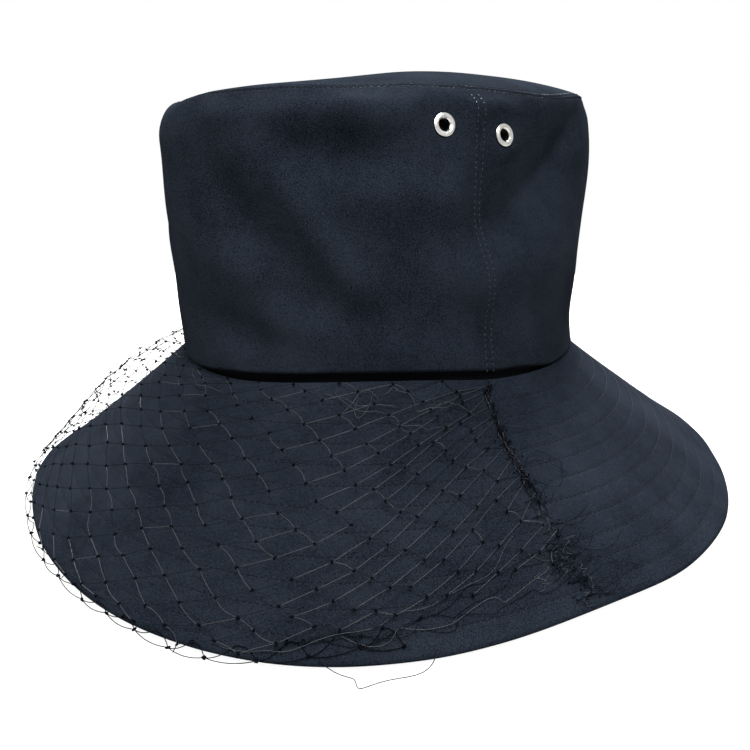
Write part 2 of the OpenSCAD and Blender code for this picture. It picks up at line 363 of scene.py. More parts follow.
# ---- mesh making
def new_object(name, verts, faces, material, slot, uv=None):
    """A smooth-shaded object from vertices in millimetres and a list of face arrays."""
    loops = np.concatenate([a.ravel() for a in faces]).astype(np.int32)
    sizes = np.concatenate([np.full(len(a), a.shape[1]) for a in faces]).astype(np.int32)
    mesh = bpy.data.meshes.new(name)
    mesh.vertices.add(len(verts))
    mesh.vertices.foreach_set("co", (np.asarray(verts, float) / MM).astype(np.float32).ravel())
    mesh.loops.add(len(loops))
    mesh.loops.foreach_set("vertex_index", loops)
    mesh.polygons.add(len(sizes))
    mesh.polygons.foreach_set("loop_start", np.concatenate([[0], np.cumsum(sizes)[:-1]]).astype(np.int32))
    mesh.polygons.foreach_set("use_smooth", np.ones(len(sizes), bool))
    mesh.update(calc_edges=True)
    if uv is not None:
        layer = mesh.uv_layers.new(name="UVMap")
        layer.data.foreach_set("uv", (np.asarray(uv) / MM)[loops].astype(np.float32).ravel())
    mesh.validate()
    mesh.materials.append(material)
    obj = bpy.data.objects.new(name, mesh)
    bpy.context.scene.collection.objects.link(obj)
    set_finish(obj, slot)
    return obj


def shell_arrays(outer, inner, ring, keep=None):
    """Vertices and quads of a closed shell between two grids of points, walled at borders and holes."""
    rows, cols = outer.shape[:2]
    count = rows * cols
    i = np.arange(rows if ring else rows - 1)
    j = np.arange(cols - 1)
    a = i[:, None] * cols + j[None, :]
    b = ((i + 1) % rows)[:, None] * cols + j[None, :]
    quads = np.stack([a, b, b + 1, a + 1], -1).reshape(-1, 4)
    if keep is not None:
        quads = quads[keep.reshape(-1)]
    edges = np.concatenate([quads[:, [k, (k + 1) % 4]] for k in range(4)])
    code = edges[:, 0].astype(np.int64) * count + edges[:, 1]
    back = edges[:, 1].astype(np.int64) * count + edges[:, 0]
    border = edges[~np.isin(code, back)]
    rims = np.stack([border[:, 1], border[:, 0], border[:, 0] + count, border[:, 1] + count], -1)
    verts = np.concatenate([outer.reshape(-1, 3), inner.reshape(-1, 3)])
    return verts, np.concatenate([quads, quads[:, ::-1] + count, rims])


def run_lengths(points):
    """Distance from the first point along a path."""
    return np.concatenate([[0], np.cumsum(np.linalg.norm(np.diff(points, axis=0), axis=-1))])


def shell(name, cad, outer, inner, material, slot, ring=False, keep=None, flip=False):
    """A cloth piece of the hat with its flat pattern as UV, shown in place of a CAD node."""
    verts, faces = shell_arrays(outer, inner, ring, keep)
    if flip:
        faces = faces[:, ::-1]
    used = np.unique(faces)
    renumber = np.zeros(len(verts), np.int64)
    renumber[used] = np.arange(len(used))
    around = run_lengths(outer.mean(1))
    across = run_lengths(outer[len(outer) // 3])
    flat = np.stack(np.meshgrid(around, across, indexing="ij"), -1).reshape(-1, 2)
    uv = np.concatenate([flat, flat])[used]
    obj = new_object(name, verts[used], [renumber[faces]], material, slot, uv)
    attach(obj, "hat")
    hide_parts(cad)


def tubes(paths, radius, sides=5, taper=1.0):
    """Closed tubes along equal-length paths (n, k, 3). Radius is one number or one per path point."""
    paths = np.asarray(paths, float)
    n, k = paths.shape[:2]
    radius = np.broadcast_to(np.asarray(radius, float), (n, k)).copy()
    radius[:, 0] *= taper
    radius[:, -1] *= taper
    tangent = unit(np.gradient(paths, axis=1))
    helper = np.where(np.abs(tangent[..., 2:3]) < 0.9, UP, np.array([1.0, 0.0, 0.0]))
    side = unit(np.cross(helper, tangent))
    up = np.cross(tangent, side)
    angle = 2 * np.pi * np.arange(sides) / sides
    ring = side[:, :, None] * np.cos(angle)[:, None] + up[:, :, None] * np.sin(angle)[:, None]
    verts = paths[:, :, None] + ring * radius[:, :, None, None]
    base = (np.arange(n) * k * sides)[:, None, None]
    row = (np.arange(k - 1) * sides)[None, :, None]
    c = np.arange(sides)
    a = base + row + c
    b = base + row + (c + 1) % sides
    body = np.stack([a, b, b + sides, a + sides], -1).reshape(-1, 4)
    first = (base[:, 0] + c[::-1]).reshape(n, sides)
    last = (base[:, 0] + (k - 1) * sides + c).reshape(n, sides)
    return verts.reshape(-1, 3), [body, first, last]


def merge(parts):
    """Joins (vertices, [face arrays]) pairs into one."""
    verts, faces, start = [], [], 0
    for part_verts, part_faces in parts:
        verts.append(part_verts)
        faces += [f + start for f in part_faces]
        start += len(part_verts)
    return np.concatenate(verts), faces


# Each stitch along its length: place, girth and height, dipping into the cloth at both ends
STITCH_SHAPE = np.array([0.0, 0.12, 0.5, 0.88, 1.0])
STITCH_GIRTH = np.array([0.35, 0.9, 1.0, 0.9, 0.35])
STITCH_LIFT = np.array([-0.9, 0.15, 0.7, 0.15, -0.9])


def stitches(points, normals, pitch=2.3, length=1.55, radius=0.16, jitter=0.06):
    """A row of single stitches lying on a path over a surface."""
    reach = run_lengths(points)
    count = int((reach[-1] - length) / pitch)
    starts = (np.arange(count) + 0.3) * pitch + rng.normal(0, jitter, count)
    where = starts[:, None] + STITCH_SHAPE[None, :] * length
    path = np.stack([np.interp(where, reach, points[:, k]) for k in range(3)], -1)
    up = unit(np.stack([np.interp(where, reach, normals[:, k]) for k in range(3)], -1))
    path = path + up * (STITCH_LIFT * radius)[None, :, None]
    return tubes(path, radius * STITCH_GIRTH, sides=6)


# ---- materials
def node_maker(material):
    tree = material.node_tree
    tree.nodes.clear()

    def make(kind, inputs=None, **settings):
        node = tree.nodes.new(kind)
        for key, value in settings.items():
            setattr(node, key, value)
        for key, value in (inputs or {}).items():
            if isinstance(value, bpy.types.NodeSocket):
                tree.links.new(value, node.inputs[key])
            else:
                node.inputs[key].default_value = value
        return node

    return make


def rgb(red, green, blue):
    """Linear colour from an 8-bit display colour."""
    def linear(c):
        c = c / 255
        return c / 12.92 if c <= 0.04045 else ((c + 0.055) / 1.055) ** 2.4
    return (linear(red), linear(green), linear(blue), 1.0)


def new_material(name):
    """A material and makers for its nodes: any node, noise, a mix of two colours, bump over a bump."""
    material = bpy.data.materials.new(name)
    material.use_nodes = True
    make = node_maker(material)
    place = make("ShaderNodeTexCoord").outputs["Object"]

    def noise(scale, detail, roughness=0.5):
        inputs = {"Vector": place, "Scale": scale, "Detail": detail, "Roughness": roughness}
        return make("ShaderNodeTexNoise", inputs).outputs["Fac"]

    def blend(factor, dark, light):
        inputs = {"Factor": factor, "A": dark, "B": light}
        return make("ShaderNodeMix", inputs, data_type="RGBA").outputs["Result"]

    def bump(height, strength, distance, under=None):
        inputs = {"Height": height, "Strength": strength, "Distance": distance}
        if under is not None:
            inputs["Normal"] = under
        return make("ShaderNodeBump", inputs).outputs["Normal"]

    return material, make, noise, blend, bump


def principled(make, **inputs):
    """The surface shader and the output. Underscores in the names of inputs stand for spaces."""
    named = {key.replace("_", " "): value for key, value in inputs.items()}
    surface = make("ShaderNodeBsdfPrincipled", named)
    make("ShaderNodeOutputMaterial", {"Surface": surface.outputs[0]})


# Length of one wave of the wave texture at scale 1, in metres
WAVE_PITCH = 0.314
LINT = rgb(96, 102, 108)


def cloth_material(name, dark, light, weave=0.00042, weave_depth=0.35, rough=0.95, spec=0.0,
                   sheen_tint=(0.82, 0.88, 0.92, 1.0), specks=0.0, twill=True):
    """Woven cloth: a twill or plain weave, an uneven dye, a soft sheen and a few specks of lint."""
    material, make, noise, blend, bump = new_material(name)

    def calculate(operation, a, b):
        return make("ShaderNodeMath", {0: a, 1: b}, operation=operation).outputs[0]

    def threads(direction, vector, pitch, **inputs):
        inputs = {"Vector": vector, "Scale": WAVE_PITCH / pitch, **inputs}
        wave = make("ShaderNodeTexWave", inputs, wave_type="BANDS", bands_direction=direction)
        return wave.outputs["Fac"]

    uv = make("ShaderNodeUVMap", uv_map="UVMap").outputs["UV"]
    slant = (0, 0, math.radians(63 if twill else 0))
    lean = make("ShaderNodeMapping", {"Vector": uv, "Rotation": slant}).outputs[0]
    ribs = threads("X", lean, weave, **{"Distortion": 1.2, "Detail": 2.0, "Detail Scale": 1.5})
    cross = threads("Y", uv, weave * 1.15, Distortion=1.0, Detail=1.0)
    slub = noise(2300.0, 3.0, 0.6)
    dye = calculate("ADD", calculate("MULTIPLY", noise(26.0, 6.0, 0.62), 0.45), slub)
    level = make("ShaderNodeMapRange", {"Value": dye, "From Min": 0.55, "From Max": 0.89}).outputs[0]
    colour = blend(level, dark, light)
    if specks:
        place = make("ShaderNodeTexCoord").outputs["Object"]
        dots = make("ShaderNodeTexVoronoi", {"Vector": place, "Scale": 95.0, "Randomness": 1.0})
        near = calculate("LESS_THAN", dots.outputs["Distance"], 0.022)
        pick = calculate("GREATER_THAN", dots.outputs["Color"], 1 - specks)
        colour = blend(calculate("MULTIPLY", near, pick), colour, LINT)
    woven = bump(calculate("ADD", ribs, cross), weave_depth, 0.00012)
    uneven = bump(slub, 0.25, 0.0003, woven)
    hairs = bump(noise(900.0, 3.0), 0.2, 0.0001, uneven)
    principled(make, Base_Color=colour, Roughness=rough, Specular_IOR_Level=spec, Sheen_Weight=0.004,
               Sheen_Roughness=0.45, Sheen_Tint=sheen_tint, Normal=hairs)
    return material


def thread_material(name, colour, rough=0.45, spec=0.0):
    """Twisted thread: fine slanting plies seen as bump, over one dyed colour with slight variation."""
    material, make, noise, blend, bump = new_material(name)
    dim = tuple(c * 0.65 for c in colour[:3]) + (1.0,)
    principled(make, Base_Color=blend(noise(60.0, 3.0), dim, colour), Roughness=rough,
               Specular_IOR_Level=spec, Normal=bump(noise(2600.0, 2.0), 0.35, 0.00008))
    return material


def metal_material(name):
    """Polished nickel with hairline scratches and a little tarnish."""
    material, make, noise, blend, bump = new_material(name)
    tarnish = noise(420.0, 5.0)
    rough = make("ShaderNodeMapRange", {"Value": tarnish, "To Min": 0.14, "To Max": 0.34}).outputs[0]
    principled(make, Base_Color=blend(tarnish, rgb(160, 158, 153), rgb(208, 207, 204)), Metallic=1.0,
               Roughness=rough, Normal=bump(noise(1900.0, 2.0), 0.12, 0.0001))
    return material


COTTON = cloth_material("cotton_twill", rgb(4, 6, 10), rgb(22, 26, 32), weave_depth=0.22, specks=0.03)
# Near-black, darker than the satin itself, so that the eyelet holes and the gap under the crown's foot show
# black: the lining's own black deepened with painted shade.
LINING_CLOTH = cloth_material("lining_satin", rgb(2, 2, 4), rgb(6, 7, 9), weave=0.0003, rough=0.7,
                              spec=0.01)
CANVAS = cloth_material("interlining_canvas", rgb(176, 170, 158), rgb(206, 201, 190), weave=0.0008,
                        weave_depth=0.8, sheen_tint=(1, 1, 1, 1), twill=False)
RIBBON = cloth_material("sweatband_grosgrain", rgb(9, 11, 17), rgb(22, 26, 35), weave=0.0004, rough=0.55,
                        spec=0.25, twill=False)
BRIM_THREAD = thread_material("brim_thread", rgb(10, 12, 16), spec=0.02)
# Lighter than the other threads, so that its stitches show as light dots: a painted highlight standing in
# for the thread's shine.
SIDE_THREAD_PAINTED_SHINE = thread_material("side_seam_thread", rgb(34, 38, 44), spec=0.08)
RIM_THREAD = thread_material("rim_thread", rgb(8, 10, 13), spec=0.05)
# Three copies of one net thread: a lighter, glossier one that paints a highlight, the plain dull one, and a
# near-black one that paints shade on the knots, the far strands and most of the gathered net.
NET_THREAD_PAINTED_SHINE = thread_material("net_thread", rgb(20, 22, 27), rough=0.45, spec=0.24)
NETTING_DULL = thread_material("net_thread_dull", rgb(16, 19, 24), rough=0.9, spec=0.0)
NET_THREAD_PAINTED_SHADE = thread_material("net_thread_dark", rgb(5, 6, 9), rough=0.9, spec=0.0)
NICKEL = metal_material("polished_nickel")


# ---- sample positions
# Distances from a side seam of the first sample columns, in mm
END_STEPS = np.array([0, 0.15, 0.35, 0.6, 0.9, 1.3, 1.8, 2.4, 3.1, 4.0])


def half_turns(back, columns, scale, gap=STITCH_GAP):
    """Azimuths from one side seam to the other, closer beside the seams. Scale is mm per degree."""
    start = (90 if back else -90) + gap
    span = 180 - 2 * gap
    ends = END_STEPS / scale
    middle = np.linspace(ends[-1], span - ends[-1], columns)
    return start + np.concatenate([ends[:-1], middle, span - ends[:-1][::-1]])


def ring_turns(count):
    """Evenly spaced azimuths all the way round."""
    return np.linspace(-180, 180, count + 1)[:-1]


def seam_distance(t, scale):
    """Distance in mm from the nearest side seam."""
    return np.minimum(np.abs(turn(t - 90)), np.abs(turn(t + 90))) * scale


def seam_groove(t, scale):
    """The shallow dip at a pressed side seam."""
    return -0.22 * bell(seam_distance(t, scale), 0.6)


# Distance of the stitch lines from the rim and from the side seams
RIM_STITCH, SIDE_STITCH = 1.7, 1.45
# The rolled foot of the crown: its radius, and where its centre lies from the foot seam and the face
ROLL_R, ROLL_UP, ROLL_OUT = 1.6, 5.8, -0.8


def wall_rows():
    """Heights of the sample rows above the rolled foot, close together at the foot and the rim."""
    near_foot = ROLL_UP + np.array([0.0, 0.6, 1.4, 2.3])
    body = np.linspace(ROLL_UP + 3.3, CROWN_H - 6.4, 88)
    below_rim = np.array([5.4, 4.6, 4.0, 3.5, 3.1, 2.8, 2.5, 2.2, 1.9, 1.5, 1.15, 0.85, 0.6, 0.35, 0.15, 0])
    return np.concatenate([near_foot, body, CROWN_H - below_rim]) / CROWN_H


def lowered(t, w):
    """Heights on the wall with the rolled foot let down at the front and the back, onto the brim."""
    away = np.abs(turn(t))
    open_at = smooth(2, 28, away) * (1 - smooth(98, 116, away))
    return w - 3.0 / CROWN_H * (1 - open_at) * (1 - smooth(0.06, 0.3, w))


def wall_relief(t, w):
    """Offset of the crown's outer face above its rolled foot: rolled edges, stitch lines and seams."""
    up = w * CROWN_H
    down = (1 - w) * CROWN_H
    roll = (ROLL_OUT + ROLL_R) * bell(np.maximum(0, up - ROLL_UP), 9.0)
    rim = -0.8 * np.clip(1.0 - down, 0, 1) ** 2
    line = -0.42 * bell(down - RIM_STITCH, 0.45)
    rows = seam_distance(t, CROWN_ROUND)
    twin = -0.16 * bell(rows - SIDE_STITCH, 0.4) + 0.1 * bell(rows - 1.0, 0.6)
    return roll + rim + line + (seam_groove(t, CROWN_ROUND) + twin) * smooth(0, 3, up)


def make_crown_panel(half, back):
    """A crown panel: its foot is rolled under, so that a dark crease shows between it and the brim."""
    turns = half_turns(back, 300, CROWN_ROUND, CLOTH_GAP)[:, None]
    bend = np.radians(np.linspace(195, 355, 12))
    thick = CLOTH * 0.8
    rows, rows_in = (np.concatenate([(ROLL_UP + radius * np.sin(bend)) / CROWN_H, wall_rows()])[None, :]
                     for radius in (ROLL_R, ROLL_R - thick))
    relief = wall_relief(turns, rows)
    relief[:, :len(bend)] = ROLL_OUT + ROLL_R * np.cos(bend) + seam_groove(turns, CROWN_ROUND) * 0.5
    above_roll = np.where(rows * CROWN_H > 16, 0, 0.65 * (ROLL_OUT + ROLL_R))
    relief_in = np.minimum(relief, 0.35 * relief + above_roll) - thick
    relief_in[:, :len(bend)] = ROLL_OUT + (ROLL_R - thick) * np.cos(bend)
    outer = skin("wall", turns, lowered(turns, rows), relief)
    inner = skin("wall", turns, lowered(turns, rows_in), relief_in)
    middle_t = (turns[1:, 0] + turns[:-1, 0])[:, None] / 2
    middle_w = ((rows[0, 1:] + rows[0, :-1]) / 2)[None, :]
    keep = np.ones((len(turns) - 1, rows.shape[1] - 1), bool)
    for azimuth, share in EYELETS:
        centre = wall(np.array(azimuth), np.array(share))
        away = np.linalg.norm(wall(middle_t, middle_w) - centre, axis=-1)
        keep &= away > EYELET_HOLE_R
    shell(f"crown_{half}_cloth", f"crown_{half}", outer, inner, COTTON, "cotton", keep=keep)


for half_name, is_back in HALVES:
    make_crown_panel(half_name, is_back)

# Where the tip's first ring and the lining tip's first ring lie, as shares of the way to the centre
TIP_FIRST, LINING_TIP_FIRST = 0.009, 0.045


def tip_rows(first):
    near = np.array([0.0, 0.15, 0.35, 0.6, 0.9, 1.2, 1.5, 1.8, 2.1, 2.5, 3.2, 4.2]) / TIP_REACH
    return np.concatenate([first + near, np.linspace(first + 0.07, 0.985, 44)])


def make_tip(name, cad, first, top, thick, material, slot, edge_roll):
    """A layer of the oval top. Its last ring is closed by two centre points instead of a wall."""
    turns = ring_turns(420)[:, None]
    rows = tip_rows(first)[None, :]
    away = (rows - first) * TIP_REACH
    relief = top
    if edge_roll:
        relief = top - 0.8 * np.clip(1.0 - away, 0, 1) ** 2 - 0.3 * bell(away - RIM_STITCH, 0.45)
    outer = skin("tip", turns, rows, relief)
    inner = skin("tip", turns, rows, relief - thick)
    verts, faces = shell_arrays(outer, inner, True)
    count = len(turns) * rows.shape[1]
    innermost = np.arange(len(turns)) * rows.shape[1] + rows.shape[1] - 1
    is_wall = np.isin(faces, innermost).sum(1) + np.isin(faces, innermost + count).sum(1) == 4
    faces = faces[~is_wall]
    verts = np.concatenate([verts, [outer[:, -1].mean(0), inner[:, -1].mean(0)]])
    following = np.roll(innermost, -1)
    fan_top = np.stack([innermost, following, np.full(len(turns), 2 * count)], -1)
    fan_low = np.stack([following + count, innermost + count, np.full(len(turns), 2 * count + 1)], -1)
    obj = new_object(name, verts, [faces, fan_top, fan_low], material, slot, verts[:, :2])
    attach(obj, "hat")
    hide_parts(cad)


make_tip("crown_tip_cloth", "crown_tip", TIP_FIRST, 0.0, 0.6, COTTON, "cotton", True)
make_tip("lining_tip_cloth", "lining_tip", LINING_TIP_FIRST, -3.2, 0.4, LINING_CLOTH, "lining", False)


def make_wall_band(name, cad, turns, rows, outer_off, inner_off, material, slot, ring=True):
    """A band of cloth inside the crown, between two offsets from the crown's face."""
    turns = turns[:, None]
    rows = np.asarray(rows)[None, :]
    outer, inner = (skin("wall", turns, rows, off) for off in (outer_off, inner_off))
    shell(name, cad, outer, inner, material, slot, ring=ring)


for end, low, high, count in (("rim", 0.93, 0.985, 7), ("foot", 0.05, 0.09, 5)):
    make_wall_band(f"{end}_seam_allowance", f"{end}_seam_binding", ring_turns(480),
                   np.linspace(low, high, count), -1.15, -2.1, COTTON, "cotton")
for half_name, is_back in HALVES:
    make_wall_band(f"lining_{half_name}_cloth", f"lining_{half_name}",
                   half_turns(is_back, 170, CROWN_ROUND, CLOTH_GAP), np.linspace(-0.034, 0.965, 60),
                   LINING_AT, LINING_AT - LINING, LINING_CLOTH, "lining", ring=False)

band_turns = ring_turns(1440)
ribs = 0.1 * np.cos(np.radians(band_turns * 360))[:, None]
band_rows = [0.012, 0.02, 0.035, 0.06, 0.1, 0.14, 0.18, 0.22, 0.25, 0.262, 0.27, 0.275]
make_wall_band("sweatband_ribbon", "sweatband", band_turns, band_rows, BAND_AT - 0.05,
               BAND_AT - BAND_THICK + ribs, RIBBON, "sweatband")


# ---- the brim
ROWS_OF_STITCHING = 12
# The upper brim is turned under round the edge: the turn's radius, and where its centre lies
EDGE_R = 1.62
EDGE_V = 1 - EDGE_R / BRIM_SLANT
BRIM_PLY = CLOTH * 0.85


def brim_rows(end, fine, start):
    """Sample rows across the brim. The fine ones follow the relief between two rows of stitching."""
    coarse_steps = [0, 0.1, 0.3, 0.5, 0.7, 0.9]
    fine_steps = [0, 0.05, 0.1, 0.2, 0.35, 0.5, 0.65, 0.8, 0.9, 0.95]
    inside = np.array(fine_steps if fine else coarse_steps)
    rows = (np.arange(ROWS_OF_STITCHING)[:, None] + inside[None, :]).ravel() / ROWS_OF_STITCHING
    rows = rows[rows < end - 0.002]
    return np.concatenate([[start, start / 2], rows, [end]])


def quilting(t, v):
    """Relief between the rows of stitching: a narrow valley at each row and a low swelling between them."""
    phase = v * ROWS_OF_STITCHING
    away = np.abs(phase - np.round(phase)) * BRIM_SLANT / ROWS_OF_STITCHING
    inner_rows = (np.round(phase) > 0) & (np.round(phase) < ROWS_OF_STITCHING)
    valley = np.where(inner_rows, -0.2 * bell(away, 0.65), 0)
    swell = 0.07 * np.sin(np.pi * (phase % 1)) ** 2
    pucker = 0.05 * np.sin(np.radians(t) * 130 + 9 * np.round(phase)) * bell(away - 1.2, 1.3)
    return valley + swell + pucker


def make_brim_upper(half, back):
    turns = half_turns(back, 400, BRIM_ROUND, CLOTH_GAP)[:, None]
    rows = brim_rows(EDGE_V, True, -0.012)
    relief = quilting(turns, rows[None, :]) + seam_groove(turns, BRIM_ROUND) * 0.8
    relief = relief * smooth(0.0, 0.02, rows) * (1 - smooth(0.975, EDGE_V, rows))
    bend = np.radians(np.linspace(75, -90, 12))
    tail_v = EDGE_V + np.array([-0.003, -0.008, -0.0085])
    faces = []
    relief_in = np.minimum(relief, 0) * 0.3 - BRIM_PLY
    for radius, flat, last in ((EDGE_R, relief, 0.15), (EDGE_R - BRIM_PLY, relief_in, 0)):
        tail = np.array([0, 0, last]) - EDGE_R - radius
        turned = np.concatenate([radius * np.sin(bend) - EDGE_R, tail])
        v = np.concatenate([rows, EDGE_V + radius * np.cos(bend) / BRIM_SLANT, tail_v])
        off = np.concatenate([flat, np.broadcast_to(turned, (len(turns), len(turned)))], 1)
        faces.append(skin("brim", turns, v[None, :], off))
    shell(f"brim_upper_{half}_cloth", f"brim_upper_{half}", *faces, COTTON, "cotton", flip=True)


def make_brim_layer(name, cad, back, outer_off, thick, end, material, slot, columns, quilted):
    """A lower layer of the brim: the stiff interlining, or the quilted under brim."""
    turns = half_turns(back, columns, BRIM_ROUND, CLOTH_GAP if quilted else CORE_GAP)[:, None]
    rows = brim_rows(end, quilted, -0.004)[None, :]
    under_off = outer_off - thick
    if quilted:
        under_off = under_off - quilting(turns, rows) * 0.8 - seam_groove(turns, BRIM_ROUND) * 0.6
    outer, inner = (skin("brim", turns, rows, off) for off in (outer_off, under_off))
    shell(name, cad, outer, inner, material, slot, flip=True)


for half_name, is_back in HALVES:
    make_brim_upper(half_name, is_back)
    make_brim_layer(f"brim_core_{half_name}_canvas", f"brim_core_{half_name}", is_back, CORE_AT - 0.05,
                    CORE - 0.1, 0.972, CANVAS, "interlining", 160, False)
    make_brim_layer(f"brim_under_{half_name}_cloth", f"brim_under_{half_name}", is_back, UNDER_AT,
                    BRIM_PLY, 0.9735, COTTON, "cotton", 360, True)


# ---- stitching
def on_surface(kind, turns, share, off):
    """A stitch path: points on a surface and their normals."""
    turns, share = np.broadcast_arrays(np.asarray(turns, float), np.asarray(share, float))
    points = skin(kind, turns, share, np.broadcast_to(off, turns.shape))
    normals = outward(kind, turns, share)
    return points, normals


def brim_stitches(back, under):
    parts = []
    turns = half_turns(back, 700, BRIM_ROUND)
    for k in range(1, ROWS_OF_STITCHING):
        v = k / ROWS_OF_STITCHING
        relief = quilting(turns, np.full(turns.shape, v))
        off = UNDER_AT - BRIM_PLY - relief * 0.8 if under else relief
        points, normals = on_surface("brim", turns, v, off)
        parts.append(stitches(points, -normals if under else normals))
    return merge(parts)


def rim_stitches():
    """A row of stitches on each side of the rim's seam."""
    turns = np.linspace(-180, 180, 900)
    level = 1 - RIM_STITCH / CROWN_H
    relief = wall_relief(turns, np.full(turns.shape, level))
    rows = (("wall", level, relief), ("tip", TIP_FIRST + RIM_STITCH / TIP_REACH, -0.3))
    return merge([stitches(*on_surface(kind, turns, share, off), radius=0.17) for kind, share, off in rows])


def side_stitches(side):
    parts = []
    rise = np.linspace(0.03, 0.972, 160)
    for gap in (-SIDE_STITCH, SIDE_STITCH):
        turns = np.full(rise.shape, side * 90.0 + gap / CROWN_ROUND)
        points, normals = on_surface("wall", turns, rise, wall_relief(turns, rise))
        parts.append(stitches(points, normals, 2.4, 1.0, 0.17, 0.18))
    return merge(parts)


def stitch_piece(name, made, thread):
    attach(new_object(name, *made, thread, "cotton"), "hat")


for half_name, is_back in HALVES:
    stitch_piece(f"brim_{half_name}_stitching", brim_stitches(is_back, False), BRIM_THREAD)
    stitch_piece(f"brim_{half_name}_under_stitching", brim_stitches(is_back, True), BRIM_THREAD)
stitch_piece("rim_stitching", rim_stitches(), RIM_THREAD)
stitch_piece("side_seam_stitching_left", side_stitches(1), SIDE_THREAD_PAINTED_SHINE)
stitch_piece("side_seam_stitching_right", side_stitches(-1), SIDE_THREAD_PAINTED_SHINE)


# ---- eyelets
for node_name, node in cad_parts.items():
    if node_name.startswith(("eyelet", "washer")):
        node.data.materials.clear()
        node.data.materials.append(NICKEL)


# ---- the net
NET_COLUMNS, NET_ROWS = 29, 20
STRAND = 11.2
PITCH_TOP, PITCH_HEM = 9.0, 9.9
HEM_SHARE = 1.04
SEAM_AT = 89.0
# Radii that turn a knot's column into its azimuth, at the foot and at the brim's edge
FOOT_RADIUS, EDGE_RADIUS = 94.0, 164.0
# The least height of the net's middle lines above the cloth and above the ground
OFF_CLOTH, OFF_GROUND = 1.1, 0.35
# Radii of the glossy (painted highlight), dull, far (painted shade) and slack threads, and of the chain at
# the net's edge
SHINY_R, DULL_R, FAR_R, SLACK_R, CHAIN_R = 0.125, 0.13, 0.17, 0.14, 0.15


def stand(t, v):
    """How far the net stands off the brim."""
    front = np.clip(np.cos(np.radians(t * 0.98)), 0, 1)
    shape = np.sin(np.pi * np.clip(v, 0, 1) ** 0.75) ** 0.8
    return 1.0 + 12.5 * front ** 1.3 * shape + 2.0 * front * smooth(0.8, 1.1, v)


def net_target(t, s, lift):
    s_in = np.clip(s, 0, 0.995)
    off = outward("brim", t, s_in) * np.asarray(lift)[..., None]
    return brim(t, s) + off + brim_sculpt(t, s_in) + SHIFT


def ground_clear(points, least=OFF_GROUND):
    points[..., 2] = np.maximum(points[..., 2], least)
    return points


def on_brim(t, v, high, low_v=0.01, high_v=0.985):
    """Points above the brim, kept between its foot and its edge."""
    return skin("brim", t, np.clip(v, low_v, high_v), high)


def shares(count):
    """Even steps from 0 to 1 along many paths at once."""
    return np.linspace(0, 1, count)[None, :, None]


def collider():
    """The brim's top and the crown's wall as one surface that the net is kept off."""
    t = np.linspace(-100, 100, 201)[:, None]
    w = np.linspace(0, 0.3, 12)[None, :]
    top = skin("brim", t, np.linspace(0, 1.0, 40)[None, :], np.zeros((201, 40)))
    side = skin("wall", t, w, wall_relief(t, w))
    verts, faces, start = [], [], 0
    for grid, order in ((top, -1), (side, 1)):
        rows, cols = grid.shape[:2]
        a = np.arange(rows - 1)[:, None] * cols + np.arange(cols - 1)[None, :]
        faces.append(np.stack([a, a + cols, a + cols + 1, a + 1], -1).reshape(-1, 4)[:, ::order] + start)
        verts.append(grid.reshape(-1, 3))
        start += rows * cols
    return BVHTree.FromPolygons(np.concatenate(verts).tolist(), np.concatenate(faces).tolist())


def row_share(t, down):
    """Where a row of knots lies across the brim: swagging from front to side, drawn up at the seams."""
    away = abs(t)
    swag = 0.05 * math.sin(math.pi * down) * -math.cos(math.radians(away * 3))
    bunched = 0.8 + 0.6 * (down - 0.8) if down > 0.8 else down
    level = HEM_SHARE * mix(down, bunched, float(smooth(44, 60, away))) + swag
    drawn = 0.8 * down ** 1.4
    return mix(level, drawn, float(smooth(56, 94, away)))


def build_net():
    """Knot places, their rows and azimuths, which are sewn down, and the strands between them."""
    index, knots = {}, []
    for j in range(NET_ROWS + 1):
        down = min(j, NET_ROWS - 0.8) / NET_ROWS
        pitch = mix(PITCH_TOP, PITCH_HEM, down)
        radius = mix(FOOT_RADIUS, EDGE_RADIUS, min(1.0, down * HEM_SHARE))
        for i in range(-NET_COLUMNS, NET_COLUMNS + 1):
            if (i + j) % 2 == 0:
                t = math.degrees(i * pitch / radius)
                index[i, j] = len(knots)
                knots.append((t, row_share(t, down)))
    at, share = np.array(knots).T
    t = at + rng.normal(0, 0.4, len(at)) + 0.8 * np.sin(share * 11 + at * 0.09)
    s = share + rng.normal(0, 0.007, len(at)) + 0.008 * np.sin(at * 0.21 + share * 5)
    fixed = np.abs(t) >= SEAM_AT
    t = np.where(fixed, np.sign(t) * (90 + rng.uniform(-0.9, 0.9, len(t))), t)
    s = np.where(fixed, np.clip(s, 0.02, 0.985), s)
    lift = np.where(fixed, 0.9, stand(t, s)) * (1 + rng.normal(0, 0.07, len(t)))
    pairs = []
    for (i, j), a in index.items():
        for step in (-1, 1):
            b = index.get((i + step, j + 1))
            if b is not None and not (fixed[a] and fixed[b]):
                pairs.append((a, b))
    rows = np.array([key[1] for key in index])
    return ground_clear(net_target(t, s, lift)), rows, t, fixed, np.array(pairs)


